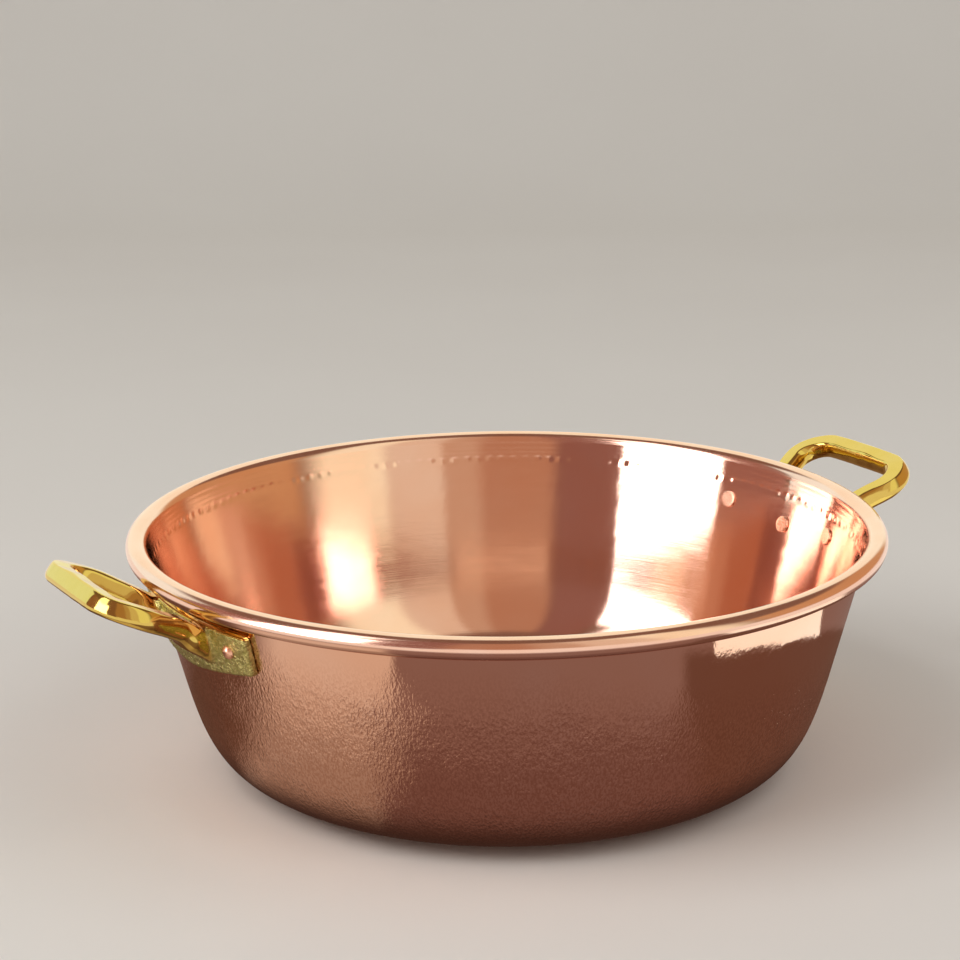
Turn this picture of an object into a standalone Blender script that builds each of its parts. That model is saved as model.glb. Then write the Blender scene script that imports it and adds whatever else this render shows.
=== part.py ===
"""A copper jam pan: a round bowl with a wired edge and two cast brass loop handles, riveted on.

Lengths are in metres and +Z is up. The origin is the middle of the flat underside, and the handles
lie on the X axis. The bowl is one sheet, turned about Z, whose edge is rolled outward round a wire.
"""

import math

import bmesh
import bpy
from mathutils import Matrix, Vector

# Bowl
RIM_DIAMETER = 0.400
PAN_HEIGHT = 0.130
BASE_DIAMETER = 0.222
SHOULDER_HEIGHT = 0.060
SHOULDER_WALL_SHARE = 0.694
SHOULDER_BASE_SHARE = 0.963
WALL = 0.0015
WALL_LEAN = math.radians(14.65)

# Rolled edge, and the clearance that every touching pair of pieces keeps
ROLL_DIAMETER = 0.011
FIT_GAP = 0.0003

# Handle plate, which follows the wall under the rolled edge and comes to a low point at its middle
PLATE_WIDTH = 0.123
PLATE_THICKNESS = 0.004
PLATE_BELOW_RIM = 0.017
PLATE_END_HEIGHT = 0.0205
PLATE_MIDDLE_HEIGHT = 0.029
PLATE_POINT_SHARE = 0.25
PLATE_CHAMFER = 0.0008
PLATE_CORNER = 0.0018

# Handle loop: two legs that spread and rise from the plate, and a grip across their ends
LOOP_LENGTH = 0.049
LOOP_ROOT_SPREAD = 0.0585
LOOP_GRIP_SPREAD = 0.0955
LOOP_CORNER_RADIUS = 0.0158
LOOP_BOW = 0.0012
LOOP_ROOT_INSIDE_RIM = 0.0053
LOOP_ROOT_BELOW_RIM = 0.021
LOOP_ROOT_RISE = math.radians(32.4)
LOOP_GRIP_RISE = math.radians(22.4)

# Section of the loop: a flat top, sides that widen downward and a rounded underside
GRIP_WIDTH = 0.013
GRIP_THICKNESS = 0.0108
SECTION_WIDTH_SHARES = (0.32, 0.38, 0.40, 0.45, 0.50, 0.46, 0.30)
SECTION_DEPTH_SHARES = (0.50, 0.45, 0.20, -0.05, -0.25, -0.42, -0.50)

# Rivets, three to a handle, with flat heads inside the pan and domed tails outside
RIVET_SPACING = 0.047
RIVET_BELOW_RIM = 0.026
MIDDLE_RIVET_BELOW_RIM = 0.031
RIVET_SHANK_DIAMETER = 0.0055
RIVET_HEAD_DIAMETER = 0.0095
RIVET_HEAD_THICKNESS = 0.0011
RIVET_HEAD_EDGE = 0.0003
RIVET_TAIL_DIAMETER = 0.0072
RIVET_TAIL_HEIGHT = 0.0024

# How far a cutter runs past what it cuts
OVERRUN = 0.004

# Steps round each curve, and the angle above which an edge stays sharp
TURN_STEPS = 72
SHOULDER_STEPS = 8
ROLL_STEPS = 13
WIRE_STEPS = 8
PLATE_STEPS = 22
LEG_STEPS = 3
CORNER_STEPS = 6
BAR_STEPS = 5
SEAT_PASSES = 12
RIVET_STEPS = 12
TAIL_STEPS = 3
SHARP_ANGLE = math.radians(32)

# Sizes that follow from the ones above
RIM_RADIUS = RIM_DIAMETER / 2
BASE_RADIUS = BASE_DIAMETER / 2
ROLL_RADIUS = ROLL_DIAMETER / 2
ROLL_BORE = ROLL_RADIUS - WALL
WIRE_RADIUS = ROLL_BORE - FIT_GAP
ROLL_MIDDLE = Vector((RIM_RADIUS - ROLL_RADIUS, PAN_HEIGHT - ROLL_RADIUS))
ROLL_START = math.pi - WALL_LEAN
PLATE_TOP = PAN_HEIGHT - PLATE_BELOW_RIM
SHANK_RADIUS = RIVET_SHANK_DIAMETER / 2
HEAD_RADIUS = RIVET_HEAD_DIAMETER / 2
TAIL_RADIUS = RIVET_TAIL_DIAMETER / 2

# Each handle's name and its direction about Z
HANDLES = (("right", 0), ("left", math.pi))


def on_circle(middle, radius, angle):
    """A point of a circle in the (radius, height) plane of the turned outline."""
    return middle + radius * Vector((math.cos(angle), math.sin(angle)))


WALL_TOP = on_circle(ROLL_MIDDLE, ROLL_BORE, ROLL_START)


def wall_radius(height):
    """Radius of the wall's outer face, which runs straight into the bore of the rolled edge."""
    return WALL_TOP.x - (WALL_TOP.y - height) * math.tan(WALL_LEAN)


def beside_wall(azimuth, height, offset):
    """A point level with a height of the wall, and offset out from its outer face."""
    radius = wall_radius(height) + offset / math.cos(WALL_LEAN)
    return Vector((radius * math.cos(azimuth), radius * math.sin(azimuth), height))


def make_material(name, colour, roughness, metallic):
    """A plain finish in the photographed colour."""
    material = bpy.data.materials.new(name)
    material.use_nodes = True
    shader = material.node_tree.nodes["Principled BSDF"]
    shader.inputs["Base Color"].default_value = (*colour, 1)
    shader.inputs["Roughness"].default_value = roughness
    shader.inputs["Metallic"].default_value = metallic
    material.diffuse_color = (*colour, 1)
    return material


def copper():
    """Polished copper sheet, pink with an orange cast."""
    return make_material("copper", (0.82, 0.42, 0.30), 0.26, 1)


def rivet_copper():
    """Copper rivets, a little duller than the sheet."""
    return make_material("rivet_copper", (0.78, 0.38, 0.26), 0.34, 1)


def brass():
    """Cast yellow brass with a greenish cast."""
    return make_material("brass", (0.72, 0.55, 0.17), 0.30, 1)


def wire_steel():
    """Plain steel wire, hidden in the rolled edge."""
    return make_material("wire_steel", (0.45, 0.44, 0.42), 0.45, 1)


def new_mesh(name, points, faces):
    """A closed mesh with its faces pointing out, shaded smooth except at real edges."""
    shape = bmesh.new()
    vertices = [shape.verts.new(point) for point in points]
    for face in faces:
        shape.faces.new([vertices[i] for i in face])
    bmesh.ops.recalc_face_normals(shape, faces=shape.faces)
    mesh = bpy.data.meshes.new(name)
    shape.to_mesh(mesh)
    shape.free()
    mesh.shade_smooth()
    mesh.set_sharp_from_angle(angle=SHARP_ANGLE)
    return mesh


def turned_mesh(name, outline, steps):
    """Turns (radius, height) points about Z, with facets square to the X axis.

    An outline that starts and ends at radius zero closes on the axis, and any other closes on itself.
    """
    points = []
    rings = []
    for radius, height in outline:
        turns = steps if radius > 0 else 1
        first = len(points)
        rings.append([first + i % turns for i in range(steps)])
        for i in range(turns):
            angle = math.tau * (i + 0.5) / steps
            points.append((radius * math.cos(angle), radius * math.sin(angle), height))
    pairs = list(zip(rings, rings[1:]))
    if outline[0][0] > 0:
        pairs.append((rings[-1], rings[0]))
    faces = []
    for low, high in pairs:
        for i in range(steps):
            j = (i + 1) % steps
            corners = dict.fromkeys((low[i], low[j], high[j], high[i]))
            faces.append(list(corners))
    return new_mesh(name, points, faces)


def lofted_mesh(name, rings):
    """Joins rings of points in order and closes both ends with a fan."""
    points = [point for ring in rings for point in ring]
    count = len(rings[0])
    faces = []
    for r in range(len(rings) - 1):
        for i in range(count):
            j = (i + 1) % count
            faces.append((r * count + i, r * count + j, (r + 1) * count + j, (r + 1) * count + i))
    for first, ring in ((0, rings[0]), (len(points) - count, rings[-1])):
        points.append(sum(ring, Vector()) / count)
        for i in range(count):
            faces.append((first + i, first + (i + 1) % count, len(points) - 1))
    return new_mesh(name, points, faces)


def add_object(name, mesh, material, matrix=None):
    """One named piece with one finish."""
    piece = bpy.data.objects.new(name, mesh)
    bpy.context.scene.collection.objects.link(piece)
    piece.data.materials.clear()
    piece.data.materials.append(material)
    if matrix is not None:
        piece.matrix_world = matrix
    return piece


def add_guide(name, mesh, matrix):
    """A shape that only joins or cuts others."""
    guide = bpy.data.objects.new(name, mesh)
    bpy.context.scene.collection.objects.link(guide)
    guide.matrix_world = matrix
    guide.hide_render = True
    guide.display_type = "WIRE"
    return guide


def boolean(piece, operation, guide):
    """Joins a guide to a piece, or cuts the piece with it."""
    modifier = piece.modifiers.new(guide.name, "BOOLEAN")
    modifier.operation = operation
    modifier.object = guide
    modifier.solver = "EXACT"


def shoulder_curve():
    """Points and outward normals of the outer face, from the base's edge up to the straight wall."""
    foot = Vector((BASE_RADIUS, 0))
    corner = Vector((wall_radius(0), 0))
    top = Vector((wall_radius(SHOULDER_HEIGHT), SHOULDER_HEIGHT))
    foot_handle = foot.lerp(corner, SHOULDER_BASE_SHARE)
    top_handle = top.lerp(corner, SHOULDER_WALL_SHARE)
    curve = []
    for i in range(SHOULDER_STEPS + 1):
        t = i / SHOULDER_STEPS
        s = 1 - t
        point = s**3 * foot + 3 * s * s * t * foot_handle + 3 * s * t * t * top_handle + t**3 * top
        along = s * s * (foot_handle - foot) + t * t * (top - top_handle)
        along += 2 * s * t * (top_handle - foot_handle)
        along.normalize()
        curve.append((point, Vector((along.y, -along.x))))
    return curve


def roll_arc(radius, clearance_radius):
    """The rolled sheet's face at one radius, from the wall over the top and round to the lip.

    The lip ends in a plane that keeps the fit gap to the wall's outer face, so the roll stays open.
    """
    sweep = math.tau - math.acos(clearance_radius / radius)
    step = sweep / ROLL_STEPS
    return [on_circle(ROLL_MIDDLE, radius, ROLL_START - step * i) for i in range(ROLL_STEPS + 1)]


def pan_body():
    """The bowl, up its outer face, round inside the roll, back over it and down the inner face."""
    shoulder = shoulder_curve()
    outer = [point for point, normal in shoulder]
    inner = [point - WALL * normal for point, normal in shoulder]
    outline = [Vector((0, 0))] + outer
    outline += roll_arc(ROLL_BORE, ROLL_BORE - FIT_GAP)
    outline += reversed(roll_arc(ROLL_RADIUS, ROLL_BORE - FIT_GAP))
    outline += reversed(inner)
    outline.append(Vector((0, WALL)))
    return add_object("pan_body", turned_mesh("pan_body", outline, TURN_STEPS), copper())


def rim_wire():
    """The stiffening wire that lies in the rolled edge."""
    outline = [on_circle(ROLL_MIDDLE, WIRE_RADIUS, math.tau * i / WIRE_STEPS) for i in range(WIRE_STEPS)]
    return add_object("rim_wire", turned_mesh("rim_wire", outline, TURN_STEPS), wire_steel())


def plate_section(azimuth, half_angle, shrink):
    """One upright section of the handle plate, drawn in at its ends by the shrink."""
    spread = abs(azimuth) / half_angle
    point = PLATE_POINT_SHARE
    rise = (math.hypot(spread, point) - point) / (math.hypot(1, point) - point)
    height = PLATE_MIDDLE_HEIGHT + (PLATE_END_HEIGHT - PLATE_MIDDLE_HEIGHT) * rise
    low = PLATE_TOP - height + shrink
    high = PLATE_TOP - shrink
    inner = FIT_GAP
    outer = FIT_GAP + PLATE_THICKNESS - min(shrink, PLATE_CHAMFER)
    section = [
        (low, inner),
        (low, outer - PLATE_CHAMFER),
        (low + PLATE_CHAMFER, outer),
        (high - PLATE_CHAMFER, outer),
        (high, outer - PLATE_CHAMFER),
        (high, inner),
    ]
    return [beside_wall(azimuth, z, offset) for z, offset in section]


def plate_mesh():
    """The handle plate for the handle on +X, with its four corners eased."""
    wall = wall_radius(PLATE_TOP)
    half_angle = PLATE_WIDTH / 2 / wall
    ease = PLATE_CORNER / wall
    inside = half_angle - ease
    rings = [plate_section(-half_angle, half_angle, PLATE_CORNER)]
    for i in range(PLATE_STEPS + 1):
        azimuth = inside * (2 * i / PLATE_STEPS - 1)
        rings.append(plate_section(azimuth, half_angle, 0))
    rings.append(plate_section(half_angle, half_angle, PLATE_CORNER))
    return lofted_mesh("handle_plate", rings)


def loop_path():
    """The loop's middle line in its own surface, as (across, along) points from leg to leg."""
    root = LOOP_ROOT_SPREAD / 2
    grip = LOOP_GRIP_SPREAD / 2
    leg_foot = Vector((-root, 0))
    corner = Vector((-grip, LOOP_LENGTH))
    to_foot = (leg_foot - corner).normalized()
    to_middle = Vector((1, 0))
    half_turn = to_foot.angle(to_middle) / 2
    cut = LOOP_CORNER_RADIUS / math.tan(half_turn)
    middle = corner + (to_foot + to_middle).normalized() * LOOP_CORNER_RADIUS / math.sin(half_turn)
    start = corner + to_foot * cut - middle
    sweep = math.pi - 2 * half_turn
    half = [leg_foot.lerp(middle + start, i / LEG_STEPS) for i in range(LEG_STEPS)]
    for i in range(CORNER_STEPS + 1):
        half.append(middle + Matrix.Rotation(-sweep * i / CORNER_STEPS, 2) @ start)
    bar_start = half[-1].x
    for i in range(1, BAR_STEPS):
        half.append(Vector((bar_start * (1 - i / BAR_STEPS), LOOP_LENGTH)))
    path = half + [Vector((0, LOOP_LENGTH))] + [Vector((-p.x, p.y)) for p in reversed(half)]
    for p in path:
        p.y += LOOP_BOW * (1 - (p.x / grip) ** 2) * (p.y / LOOP_LENGTH) ** 2
    return path


def loop_point(across, along, lift):
    """A point of the loop's curved surface on +X, lifted square to that surface.

    The surface leaves the wall at the root rise and bends steadily down to the grip rise.
    """
    bend = (LOOP_GRIP_RISE - LOOP_ROOT_RISE) / LOOP_LENGTH
    rise = LOOP_ROOT_RISE + bend * along
    out = RIM_RADIUS - LOOP_ROOT_INSIDE_RIM + (math.sin(rise) - math.sin(LOOP_ROOT_RISE)) / bend
    up = PAN_HEIGHT - LOOP_ROOT_BELOW_RIM - (math.cos(rise) - math.cos(LOOP_ROOT_RISE)) / bend
    return Vector((out - lift * math.sin(rise), across, up + lift * math.cos(rise)))


def loop_section():
    """The loop's section as (outward, lift) points, round from the top's outer edge."""
    side = [(w * GRIP_WIDTH, d * GRIP_THICKNESS) for w, d in zip(SECTION_WIDTH_SHARES, SECTION_DEPTH_SHARES)]
    return side + [(-w, d) for w, d in reversed(side)]


def seat_on_plate(point, direction):
    """Moves a point of a leg back along the leg to the middle of the plate's thickness."""
    seat = (FIT_GAP + PLATE_THICKNESS / 2) / math.cos(WALL_LEAN)
    for _ in range(SEAT_PASSES):
        point = point - direction * (math.hypot(point.x, point.y) - wall_radius(point.z) - seat)
    return point


def loop_mesh():
    """The loop for the handle on +X, whose legs end inside the plate."""
    path = loop_path()
    section = loop_section()
    rings = []
    for i, middle in enumerate(path):
        before = path[max(i - 1, 0)]
        after = path[min(i + 1, len(path) - 1)]
        along = (after - before).normalized()
        outward = Vector((-along.y, along.x))
        ring = []
        for width, lift in section:
            spot = middle + width * outward
            ring.append(loop_point(spot.x, spot.y, lift))
        rings.append(ring)
    for end, beyond, place in ((rings[0], rings[1], 0), (rings[-1], rings[-2], len(rings) + 1)):
        seated = [seat_on_plate(p, (q - p).normalized()) for p, q in zip(end, beyond)]
        rings.insert(place, seated)
    return lofted_mesh("handle_loop", rings)


def rivet_places():
    """Each rivet's name, its azimuth from the handle's middle and its height at the wall's outer face."""
    low = PAN_HEIGHT - MIDDLE_RIVET_BELOW_RIM
    high = PAN_HEIGHT - RIVET_BELOW_RIM
    turn = RIVET_SPACING / wall_radius(high)
    return (("front", -turn, high), ("middle", 0, low), ("back", turn, high))


def rivet_matrix(azimuth, height):
    """A frame on the wall's outer face, with +Z square out of the wall."""
    tilt = Matrix.Rotation(math.pi / 2 + WALL_LEAN, 4, "Y")
    return Matrix.Translation(beside_wall(azimuth, height, 0)) @ Matrix.Rotation(azimuth, 4, "Z") @ tilt


def rivet_mesh():
    """A rivet along Z: a flat head on the pan's inner face, a shank and a domed tail on the plate."""
    facet_drop = wall_radius(PLATE_TOP) * (1 - math.cos(math.pi / TURN_STEPS))
    head_seat = -(WALL + FIT_GAP + facet_drop)
    head_top = head_seat - RIVET_HEAD_THICKNESS
    tail_seat = FIT_GAP + PLATE_THICKNESS + FIT_GAP
    outline = [
        (0, head_top),
        (HEAD_RADIUS - RIVET_HEAD_EDGE, head_top),
        (HEAD_RADIUS, head_top + RIVET_HEAD_EDGE),
        (HEAD_RADIUS, head_seat),
        (SHANK_RADIUS, head_seat),
        (SHANK_RADIUS, tail_seat),
    ]
    for i in range(TAIL_STEPS):
        angle = math.pi / 2 * i / TAIL_STEPS
        outline.append((TAIL_RADIUS * math.cos(angle), tail_seat + RIVET_TAIL_HEIGHT * math.sin(angle)))
    outline.append((0, tail_seat + RIVET_TAIL_HEIGHT))
    return turned_mesh("rivet", outline, RIVET_STEPS)


def rivet_hole_mesh():
    """A round cutter for the hole that a rivet passes through."""
    radius = SHANK_RADIUS + FIT_GAP
    low = -WALL - OVERRUN
    high = FIT_GAP + PLATE_THICKNESS + OVERRUN
    outline = [(0, low), (radius, low), (radius, high), (0, high)]
    return turned_mesh("rivet_hole", outline, RIVET_STEPS)


def main():
    for old in list(bpy.data.objects):
        bpy.data.objects.remove(old)
    body = pan_body()
    rim_wire()
    plate = plate_mesh()
    loop = loop_mesh()
    rivet = rivet_mesh()
    hole = rivet_hole_mesh()
    handle_finish = brass()
    rivet_finish = rivet_copper()
    for side, direction in HANDLES:
        turn = Matrix.Rotation(direction, 4, "Z")
        handle = add_object(f"handle_{side}", plate, handle_finish, turn)
        boolean(handle, "UNION", add_guide(f"loop_{side}", loop, turn))
        for place, azimuth, height in rivet_places():
            matrix = turn @ rivet_matrix(azimuth, height)
            add_object(f"rivet_{side}_{place}", rivet, rivet_finish, matrix)
            cutter = add_guide(f"hole_{side}_{place}", hole, matrix)
            boolean(handle, "DIFFERENCE", cutter)
            boolean(body, "DIFFERENCE", cutter)


main()
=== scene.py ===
"""The looks of the jam pan: spun and hammered copper, cast brass handles and copper rivets.

Lengths are in metres, +Z is up, and the origin is the middle of the pan's flat underside.
"""

import math

import bpy
import numpy as np
from mathutils import Matrix, Vector


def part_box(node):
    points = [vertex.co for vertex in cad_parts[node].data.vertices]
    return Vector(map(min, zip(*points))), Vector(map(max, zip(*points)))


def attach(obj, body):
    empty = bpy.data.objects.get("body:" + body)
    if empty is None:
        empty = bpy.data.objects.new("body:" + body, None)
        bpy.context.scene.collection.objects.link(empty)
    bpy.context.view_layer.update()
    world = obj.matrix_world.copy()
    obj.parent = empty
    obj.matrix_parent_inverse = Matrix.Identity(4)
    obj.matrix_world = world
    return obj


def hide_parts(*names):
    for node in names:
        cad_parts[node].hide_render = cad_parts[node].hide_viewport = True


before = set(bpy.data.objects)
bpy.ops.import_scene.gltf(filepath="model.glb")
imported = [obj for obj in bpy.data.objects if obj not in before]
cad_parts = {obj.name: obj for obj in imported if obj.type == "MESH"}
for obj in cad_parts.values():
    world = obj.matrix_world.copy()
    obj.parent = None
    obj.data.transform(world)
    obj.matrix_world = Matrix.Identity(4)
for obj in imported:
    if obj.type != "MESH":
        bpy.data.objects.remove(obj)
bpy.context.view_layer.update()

# Pan
PAN_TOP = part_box("pan_body")[1]
RIM_RADIUS = PAN_TOP.x
PAN_HEIGHT = PAN_TOP.z
BASE_RADIUS = 0.111
SHOULDER_HEIGHT = 0.060
SHOULDER_WALL_SHARE = 0.694
SHOULDER_BASE_SHARE = 0.963
WALL = 0.0015
WALL_LEAN = math.radians(14.65)
ROLL_RADIUS = 0.0055
FIT_GAP = 0.0003

# Steps of the pan's mesh: round it, and along its outline
TURN_STEPS = 840
WALL_STEP = 0.0016
BAND_STEP = 0.0007
BASE_STEP = 0.006
ROLL_STEP = 0.0009

# Hammer marks of the wall, and the row of small dents and the grooves inside the top
MARK_PITCH = 0.0060
MARK_REACH = 0.0052
OUTER_MARK_DEPTH = 0.000028
INNER_MARK_DEPTH = 0.000022
MARK_SCATTER = 0.6
SMOOTH_BELOW_RIM = 0.014
MARKS_FADE = 0.010
SHALLOWER_BELOW_RIM = (0.025, 0.060)
SHALLOWER_SHARE = 0.6
RIPPLE_ROUND = 0.014
RIPPLE_UP = 0.0055
RIPPLE_DEPTH = 0.000016
SMOOTH_RIPPLE_SHARE = 0.3
DENT_PITCH = 0.0072
DENT_SCATTER_SHARE = 0.16
DENT_SCATTER_UP = 0.0006
DENT_RADIUS = 0.0021
DENT_DEPTH = 0.000140
DENT_BELOW_RIM = 0.0149
DENT_GROOVE_HALF_WIDTH = 0.0030
DENT_GROOVE_DEPTH = 0.000045
GROOVES_BELOW_RIM = (0.0117, 0.0091, 0.0064)
GROOVE_HALF_WIDTH = 0.0007
GROOVE_DEPTH = 0.000055
GROOVE_WANDER = 0.0003
GROOVE_WANDER_PITCH = 0.08
GROOVE_FADE_PITCH = 0.03
BAND_LOW_BELOW_RIM = 0.019

# Handle plate
PLATE_WIDTH = 0.123
PLATE_THICKNESS = 0.004
PLATE_TOP = PAN_HEIGHT - 0.017
PLATE_END_HEIGHT = 0.0205
PLATE_MIDDLE_HEIGHT = 0.029
PLATE_POINT_SHARE = 0.25
PLATE_CHAMFER = 0.0008
PLATE_CORNER = 0.0018

# Handle loop
LOOP_LENGTH = 0.049
LOOP_ROOT_SPREAD = 0.0585
LOOP_GRIP_SPREAD = 0.0955
LOOP_CORNER_RADIUS = 0.0158
LOOP_BOW = 0.0012
LOOP_ROOT_OUT = 0.1947
LOOP_ROOT_UP = PAN_HEIGHT - 0.021
LOOP_ROOT_RISE = math.radians(32.4)
LOOP_GRIP_RISE = math.radians(22.4)
GRIP_WIDTH = 0.013
GRIP_THICKNESS = 0.0108
SECTION_WIDTH_SHARES = (0.18, 0.33, 0.415, 0.47, 0.50, 0.44, 0.26)
SECTION_DEPTH_SHARES = (0.57, 0.48, 0.25, 0.00, -0.22, -0.42, -0.50)
FILED_LEVEL_SHARE = 0.49
FILED_UNEVENNESS = 0.0005
FILED_WAVER_LENGTHS = (0.011, 0.0043)
FILED_TILT = 0.07
FILED_TILT_LENGTH = 0.017
FILLET_START = 0.012
FILLET_FLARE_SHARE = 0.45

# Rivets
RIVET_SPACING = 0.047
RIVET_HEIGHT = PAN_HEIGHT - 0.026
MIDDLE_RIVET_HEIGHT = PAN_HEIGHT - 0.031
SHANK_RADIUS = 0.00275
HEAD_RADIUS = 0.00475
HEAD_THICKNESS = 0.0011
HEAD_EDGE = 0.0003
HEAD_SEAT_GAP = 0.00006
TAIL_RADIUS = 0.0036
TAIL_HEIGHT = 0.0024
TAIL_UNEVENNESS = 0.00016
TAIL_UNEVEN_PITCH = 0.0021
TAIL_UNEVEN_SHARE = 0.05
RIVET_STEPS = 56

# Handle mesh: the grain that the casting is built at, its smoothing, and its unevenness
CAST_GRAIN = 0.00038
CAST_SMOOTHING = 0.5
CAST_PASSES = 9
FILLET_REACH = 0.0042
FILLET_ACROSS = (0.018, 0.041)
FILLET_BELOW_TOP = 0.016
FILLET_SMOOTHING = 0.7
FILLET_PASSES = 110
POLISH_OFF_PLATE = (0.0006, 0.0030)
POLISH_OVER_TOP = (-0.0013, -0.0006)
PLATE_ROUGHNESS = 0.00016
PLATE_GRAIN_PITCHES = (0.0011, 0.0023)
LOOP_UNEVENNESS = 0.00010
LOOP_WAVE_PITCHES = (0.008, 0.0035)

# Places that follow from the sizes above
ROLL_BORE = ROLL_RADIUS - WALL
ROLL_MIDDLE = np.array([RIM_RADIUS - ROLL_RADIUS, PAN_HEIGHT - ROLL_RADIUS])
ROLL_START = math.pi - WALL_LEAN
WALL_TOP = ROLL_MIDDLE + ROLL_BORE * np.array([math.cos(ROLL_START), math.sin(ROLL_START)])
HANDLES = (("right", 0), ("left", math.pi))


def wall_radius(height):
    """Radius of the wall's outer face at a height."""
    return WALL_TOP[0] - (WALL_TOP[1] - height) * math.tan(WALL_LEAN)


def smooth_step(low, high, value):
    """Rises smoothly from 0 at low to 1 at high."""
    share = np.clip((value - low) / (high - low), 0, 1)
    return share * share * (3 - 2 * share)


def scatter(a, b, seed):
    """A steady pseudo-random number from 0 to 1 for each pair of whole numbers."""
    return np.modf(np.abs(np.sin(a * 127.1 + b * 311.7 + seed * 74.7) * 43758.5453))[0]


def mesh_from(name, points, faces):
    """A mesh shaded smooth, from arrays of points and faces."""
    mesh = bpy.data.meshes.new(name)
    mesh.from_pydata(points.tolist(), [], [tuple(f) for f in faces])
    mesh.shade_smooth()
    return mesh


def set_values(mesh, name, values):
    """Stores one number for each point, for the material to read."""
    attribute = mesh.attributes.new(name, "FLOAT", "POINT")
    attribute.data.foreach_set("value", np.asarray(values, np.float32))


def add_piece(name, mesh, materials, slot, *nodes):
    """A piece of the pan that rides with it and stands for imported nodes."""
    piece = bpy.data.objects.new(name, mesh)
    bpy.context.scene.collection.objects.link(piece)
    for material in materials:
        mesh.materials.append(material)
    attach(piece, "root")
    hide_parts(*nodes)
    return piece


# Outline of the pan

def resample(points, step):
    """Points at even steps along a line, keeping both ends."""
    points = np.asarray(points, float)
    lengths = np.hypot(*np.diff(points, axis=0).T)
    along = np.concatenate([[0], np.cumsum(lengths)])
    even = np.linspace(0, along[-1], max(2, int(round(along[-1] / step)) + 1))
    return np.stack([np.interp(even, along, points[:, k]) for k in (0, 1)], 1)


def shoulder_and_wall():
    """Points and outward normals of the outer face from the base's edge to the rolled edge."""
    foot = np.array([BASE_RADIUS, 0.0])
    corner = np.array([wall_radius(0), 0.0])
    top = np.array([wall_radius(SHOULDER_HEIGHT), SHOULDER_HEIGHT])
    foot_handle = foot + (corner - foot) * SHOULDER_BASE_SHARE
    top_handle = top + (corner - top) * SHOULDER_WALL_SHARE
    t = np.linspace(0, 1, 400)[:, None]
    s = 1 - t
    curve = s**3 * foot + 3 * s * s * t * foot_handle + 3 * s * t * t * top_handle + t**3 * top
    points = np.concatenate([curve, np.linspace(top, WALL_TOP, 60)[1:]])
    along = np.gradient(points, axis=0)
    along /= np.hypot(*along.T)[:, None]
    return points, np.stack([along[:, 1], -along[:, 0]], 1)


def roll_arc(radius):
    """The rolled sheet's face at one radius, from the wall over the top and round to the lip."""
    sweep = math.tau - math.acos((ROLL_BORE - FIT_GAP) / radius)
    steps = int(radius * sweep / ROLL_STEP)
    angles = ROLL_START - sweep * np.arange(steps + 1) / steps
    return ROLL_MIDDLE + radius * np.stack([np.cos(angles), np.sin(angles)], 1)


def pan_outline():
    """The sheet's outline as runs of (points, zone), from the middle of the underside to the middle inside.

    The zones are 0 for the outer face, 1 for the rolled edge and 2 for the inner face.
    """
    points, normals = shoulder_and_wall()
    inner = points - WALL * normals
    band_low = PAN_HEIGHT - BAND_LOW_BELOW_RIM
    upper = inner[inner[:, 1] >= band_low]
    lower = inner[inner[:, 1] <= band_low]
    lower = np.concatenate([lower, upper[:1]])
    return [
        (resample([(0, 0), points[0]], BASE_STEP), 0),
        (resample(points, WALL_STEP)[1:], 0),
        (roll_arc(ROLL_BORE)[1:], 1),
        (roll_arc(ROLL_RADIUS)[::-1], 1),
        (resample(upper[::-1], BAND_STEP)[1:], 2),
        (resample(lower[::-1], WALL_STEP)[1:], 2),
        (resample([inner[0], (0, WALL)], BASE_STEP)[1:], 2),
    ]


# Marks in the copper

def hammer_marks(turn, along, radius, seed):
    """Depth, from 0 to about 1, of overlapping round hammer marks laid in rings."""
    ring = np.floor(along / MARK_PITCH)
    deepest = np.full(turn.shape, -1.0)
    for ring_step in (-1, 0, 1):
        row = ring + ring_step
        count = np.maximum(np.round(math.tau * radius / MARK_PITCH), 1)
        place = turn / math.tau * count
        for mark_step in (-1, 0, 1):
            mark = np.floor(place) + mark_step
            which = np.mod(mark, count)
            across = (place - mark - 0.2 - MARK_SCATTER * scatter(row, which, seed)) * MARK_PITCH
            up = along - (row + 0.2 + MARK_SCATTER * scatter(row, which, seed + 1)) * MARK_PITCH
            reach = MARK_REACH * (0.8 + 0.4 * scatter(row, which, seed + 2))
            deepest = np.maximum(deepest, 1 - (across**2 + up**2) / reach**2)
    return deepest


def ripple(turn, along, pitch_round, pitch_up, seed):
    """Smooth unevenness, from -1 to 1, that closes on itself round the pan."""
    count = round(math.tau * RIM_RADIUS / pitch_round)
    place = turn / math.tau * count
    rise = along / pitch_up
    column, row = np.floor(place), np.floor(rise)
    across = smooth_step(0, 1, place - column)
    up = smooth_step(0, 1, rise - row)
    low, high = (
        scatter(column % count, level, seed) * (1 - across) + scatter((column + 1) % count, level, seed) * across
        for level in (row, row + 1)
    )
    return 2 * (low * (1 - up) + high * up) - 1


def outer_relief(turn, along, radius, height):
    """How far the outer face stands back from the true outline."""
    smooth_from = PAN_HEIGHT - SMOOTH_BELOW_RIM
    hammered = 1 - smooth_step(smooth_from - MARKS_FADE, smooth_from, height)
    off_base = smooth_step(BASE_RADIUS, BASE_RADIUS + MARKS_FADE, radius)
    marks = hammer_marks(turn, along, radius, 11)
    waves = ripple(turn, along, RIPPLE_ROUND, RIPPLE_UP, 5)
    waves *= SMOOTH_RIPPLE_SHARE + (1 - SMOOTH_RIPPLE_SHARE) * hammered
    return off_base * (OUTER_MARK_DEPTH * marks * hammered + RIPPLE_DEPTH * waves)


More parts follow.
